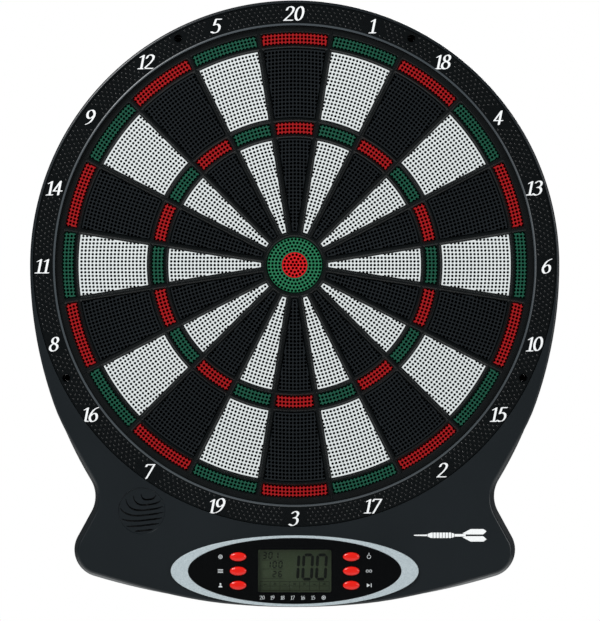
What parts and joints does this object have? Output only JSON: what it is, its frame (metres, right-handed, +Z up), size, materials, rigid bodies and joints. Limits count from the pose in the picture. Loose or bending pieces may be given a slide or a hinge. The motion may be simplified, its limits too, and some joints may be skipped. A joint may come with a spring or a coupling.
{
  "type": "electronic dartboard",
  "caption": "Wall-hung electronic soft-tip dartboard: perforated scoring tiles in a moulded cabinet with a display, keys, loudspeaker and battery box in its base.",
  "frame": {"origin": "on the cabinet's flat back, on the axis of the bull", "axes": "+Y into the wall, the board faces -Y; +Z up; +X to the right of someone facing the board"},
  "size_m": [0.4516, 0.0379, 0.5173],
  "materials": {
    "shell_plastic": "fine moulded grain",
    "ring_plastic": "satin with a moulded dot texture",
    "spider_plastic": "satin moulded",
    "tile_black": "satin moulded, perforated",
    "tile_white": "satin moulded, perforated",
    "tile_red": "satin moulded, perforated",
    "tile_green": "satin moulded, perforated",
    "cover_plastic": "moulded",
    "silver_paint": "silver metallic paint on plastic",
    "panel_gloss": "polished",
    "window_clear": "clear acrylic",
    "display_glass": "liquid crystal display",
    "key_red": "polished",
    "mat_rubber": "smooth",
    "film_polyester": "printed film",
    "hardboard": "pressed fibre",
    "circuit_board": "solder mask",
    "steel": "zinc plated",
    "cone_film": "pressed film",
    "cell_sleeve": "plain printed sleeve",
    "lead_sleeve": "soft sleeve"
  },
  "bodies": {
    "cabinet": {"front_shell": "shell_plastic", "number_ring": "ring_plastic", "spider": "spider_plastic", "cushion_mat": "mat_rubber", "switch_film": "film_polyester", "backing_board": "hardboard", "rear_cover": "cover_plastic", "silver_bezel": "silver_paint", "control_panel": "panel_gloss", "display_window": "window_clear", "display_glass": "display_glass", "display_holder": "panel_gloss", "main_board": "circuit_board", "key_pad_left": "mat_rubber", "key_pad_right": "mat_rubber", "speaker_frame": "steel", "speaker_cone": "cone_film", "speaker_lead": "lead_sleeve", "contact_strip_left": "steel", "contact_strip_right": "steel", "battery_lead": "lead_sleeve", "cover_screw_1": "steel", "cover_screw_2": "steel", "cover_screw_3": "steel", "cover_screw_4": "steel", "cover_screw_5": "steel", "cover_screw_6": "steel", "cover_screw_7": "steel", "battery_1": "cell_sleeve", "battery_2": "cell_sleeve", "battery_3": "cell_sleeve"},
    "segment_20": {"segment_20": "tile_black"},
    "segment_01": {"segment_01": "tile_white"},
    "segment_18": {"segment_18": "tile_black"},
    "segment_04": {"segment_04": "tile_white"},
    "segment_13": {"segment_13": "tile_black"},
    "segment_06": {"segment_06": "tile_white"},
    "segment_10": {"segment_10": "tile_black"},
    "segment_15": {"segment_15": "tile_white"},
    "segment_02": {"segment_02": "tile_black"},
    "segment_17": {"segment_17": "tile_white"},
    "segment_03": {"segment_03": "tile_black"},
    "segment_19": {"segment_19": "tile_white"},
    "segment_07": {"segment_07": "tile_black"},
    "segment_16": {"segment_16": "tile_white"},
    "segment_08": {"segment_08": "tile_black"},
    "segment_11": {"segment_11": "tile_white"},
    "segment_14": {"segment_14": "tile_black"},
    "segment_09": {"segment_09": "tile_white"},
    "segment_12": {"segment_12": "tile_black"},
    "segment_05": {"segment_05": "tile_white"},
    "outer_bull": {"outer_bull": "tile_green"},
    "bull": {"bull": "tile_red"},
    "key_left_top": {"key_left_top": "key_red"},
    "key_left_middle": {"key_left_middle": "key_red"},
    "key_left_bottom": {"key_left_bottom": "key_red"},
    "key_right_top": {"key_right_top": "key_red"},
    "key_right_middle": {"key_right_middle": "key_red"},
    "key_right_bottom": {"key_right_bottom": "key_red"},
    "battery_door": {"battery_door": "cover_plastic"}
  },
  "joints": [
    {"name": "segment_20_press", "type": "slide", "parent": "cabinet", "child": "segment_20", "axis": [0, 1, 0], "range_m": [0, 0.0012], "stiffness_N_per_m": 2000},
    {"name": "segment_01_press", "type": "slide", "parent": "cabinet", "child": "segment_01", "axis": [0, 1, 0], "range_m": [0, 0.0012], "stiffness_N_per_m": 2000},
    {"name": "segment_18_press", "type": "slide", "parent": "cabinet", "child": "segment_18", "axis": [0, 1, 0], "range_m": [0, 0.0012], "stiffness_N_per_m": 2000},
    {"name": "segment_04_press", "type": "slide", "parent": "cabinet", "child": "segment_04", "axis": [0, 1, 0], "range_m": [0, 0.0012], "stiffness_N_per_m": 2000},
    {"name": "segment_13_press", "type": "slide", "parent": "cabinet", "child": "segment_13", "axis": [0, 1, 0], "range_m": [0, 0.0012], "stiffness_N_per_m": 2000},
    {"name": "segment_06_press", "type": "slide", "parent": "cabinet", "child": "segment_06", "axis": [0, 1, 0], "range_m": [0, 0.0012], "stiffness_N_per_m": 2000},
    {"name": "segment_10_press", "type": "slide", "parent": "cabinet", "child": "segment_10", "axis": [0, 1, 0], "range_m": [0, 0.0012], "stiffness_N_per_m": 2000},
    {"name": "segment_15_press", "type": "slide", "parent": "cabinet", "child": "segment_15", "axis": [0, 1, 0], "range_m": [0, 0.0012], "stiffness_N_per_m": 2000},
    {"name": "segment_02_press", "type": "slide", "parent": "cabinet", "child": "segment_02", "axis": [0, 1, 0], "range_m": [0, 0.0012], "stiffness_N_per_m": 2000},
    {"name": "segment_17_press", "type": "slide", "parent": "cabinet", "child": "segment_17", "axis": [0, 1, 0], "range_m": [0, 0.0012], "stiffness_N_per_m": 2000},
    {"name": "segment_03_press", "type": "slide", "parent": "cabinet", "child": "segment_03", "axis": [0, 1, 0], "range_m": [0, 0.0012], "stiffness_N_per_m": 2000},
    {"name": "segment_19_press", "type": "slide", "parent": "cabinet", "child": "segment_19", "axis": [0, 1, 0], "range_m": [0, 0.0012], "stiffness_N_per_m": 2000},
    {"name": "segment_07_press", "type": "slide", "parent": "cabinet", "child": "segment_07", "axis": [0, 1, 0], "range_m": [0, 0.0012], "stiffness_N_per_m": 2000},
    {"name": "segment_16_press", "type": "slide", "parent": "cabinet", "child": "segment_16", "axis": [0, 1, 0], "range_m": [0, 0.0012], "stiffness_N_per_m": 2000},
    {"name": "segment_08_press", "type": "slide", "parent": "cabinet", "child": "segment_08", "axis": [0, 1, 0], "range_m": [0, 0.0012], "stiffness_N_per_m": 2000},
    {"name": "segment_11_press", "type": "slide", "parent": "cabinet", "child": "segment_11", "axis": [0, 1, 0], "range_m": [0, 0.0012], "stiffness_N_per_m": 2000},
    {"name": "segment_14_press", "type": "slide", "parent": "cabinet", "child": "segment_14", "axis": [0, 1, 0], "range_m": [0, 0.0012], "stiffness_N_per_m": 2000},
    {"name": "segment_09_press", "type": "slide", "parent": "cabinet", "child": "segment_09", "axis": [0, 1, 0], "range_m": [0, 0.0012], "stiffness_N_per_m": 2000},
    {"name": "segment_12_press", "type": "slide", "parent": "cabinet", "child": "segment_12", "axis": [0, 1, 0], "range_m": [0, 0.0012], "stiffness_N_per_m": 2000},
    {"name": "segment_05_press", "type": "slide", "parent": "cabinet", "child": "segment_05", "axis": [0, 1, 0], "range_m": [0, 0.0012], "stiffness_N_per_m": 2000},
    {"name": "outer_bull_press", "type": "slide", "parent": "cabinet", "child": "outer_bull", "axis": [0, 1, 0], "range_m": [0, 0.0012], "stiffness_N_per_m": 2000},
    {"name": "bull_press", "type": "slide", "parent": "cabinet", "child": "bull", "axis": [0, 1, 0], "range_m": [0, 0.0012], "stiffness_N_per_m": 2000},
    {"name": "key_left_top_press", "type": "slide", "parent": "cabinet", "child": "key_left_top", "axis": [0, 1, 0], "range_m": [0, 0.001], "stiffness_N_per_m": 800},
    {"name": "key_left_middle_press", "type": "slide", "parent": "cabinet", "child": "key_left_middle", "axis": [0, 1, 0], "range_m": [0, 0.001], "stiffness_N_per_m": 800},
    {"name": "key_left_bottom_press", "type": "slide", "parent": "cabinet", "child": "key_left_bottom", "axis": [0, 1, 0], "range_m": [0, 0.001], "stiffness_N_per_m": 800},
    {"name": "key_right_top_press", "type": "slide", "parent": "cabinet", "child": "key_right_top", "axis": [0, 1, 0], "range_m": [0, 0.001], "stiffness_N_per_m": 800},
    {"name": "key_right_middle_press", "type": "slide", "parent": "cabinet", "child": "key_right_middle", "axis": [0, 1, 0], "range_m": [0, 0.001], "stiffness_N_per_m": 800},
    {"name": "key_right_bottom_press", "type": "slide", "parent": "cabinet", "child": "key_right_bottom", "axis": [0, 1, 0], "range_m": [0, 0.001], "stiffness_N_per_m": 800},
    {"name": "battery_door_hinge", "type": "hinge", "parent": "cabinet", "child": "battery_door", "pos_m": [0.12583, -0.001, -0.20209], "axis": [1, 0, 0], "range_deg": [0, 75]}
  ]
}
